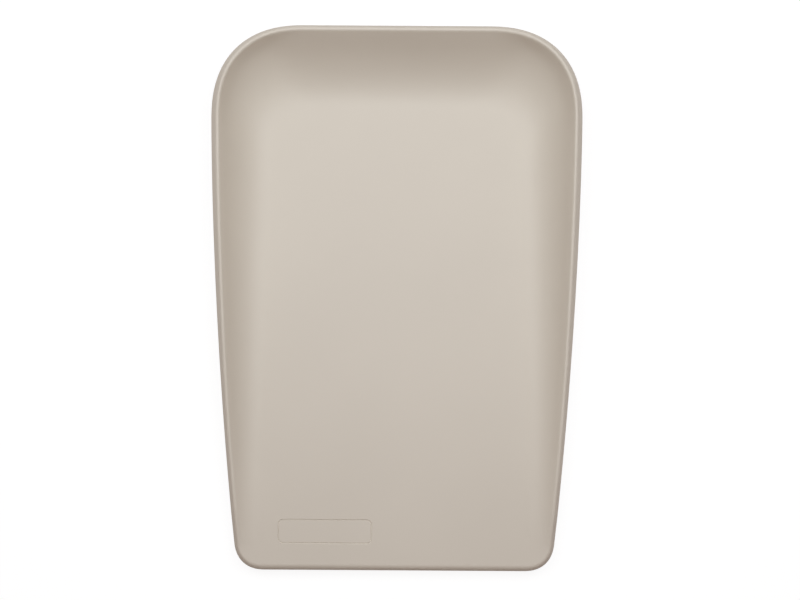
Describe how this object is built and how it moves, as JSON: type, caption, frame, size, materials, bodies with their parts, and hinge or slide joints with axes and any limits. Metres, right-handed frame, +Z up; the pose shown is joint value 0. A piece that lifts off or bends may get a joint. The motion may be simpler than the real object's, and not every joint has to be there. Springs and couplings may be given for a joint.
{
  "type": "changing mat",
  "caption": "Soft moulded changing mat for a baby: a dish with a rolled rim that rises from a low foot edge to a raised head end, on anti-slip pads.",
  "frame": {"origin": "on the surface that the mat lies on, below the middle of the mat's length and width", "axes": "+Z up, +Y along the mat towards the raised head end, +X across it to the right when looking from the foot to the head"},
  "size_m": [0.471, 0.7, 0.104],
  "materials": {
    "moulded_skin": "matt, finely grained, soft to the touch",
    "foam": "open fine cells",
    "grip_rubber": "matt"
  },
  "bodies": {
    "root": {"lying_skin": "moulded_skin", "base_skin": "moulded_skin", "foam_core": "foam", "grip_pad_head_left": "grip_rubber", "grip_pad_head_right": "grip_rubber", "grip_pad_foot_left": "grip_rubber", "grip_pad_foot_right": "grip_rubber"}
  },
  "joints": []
}
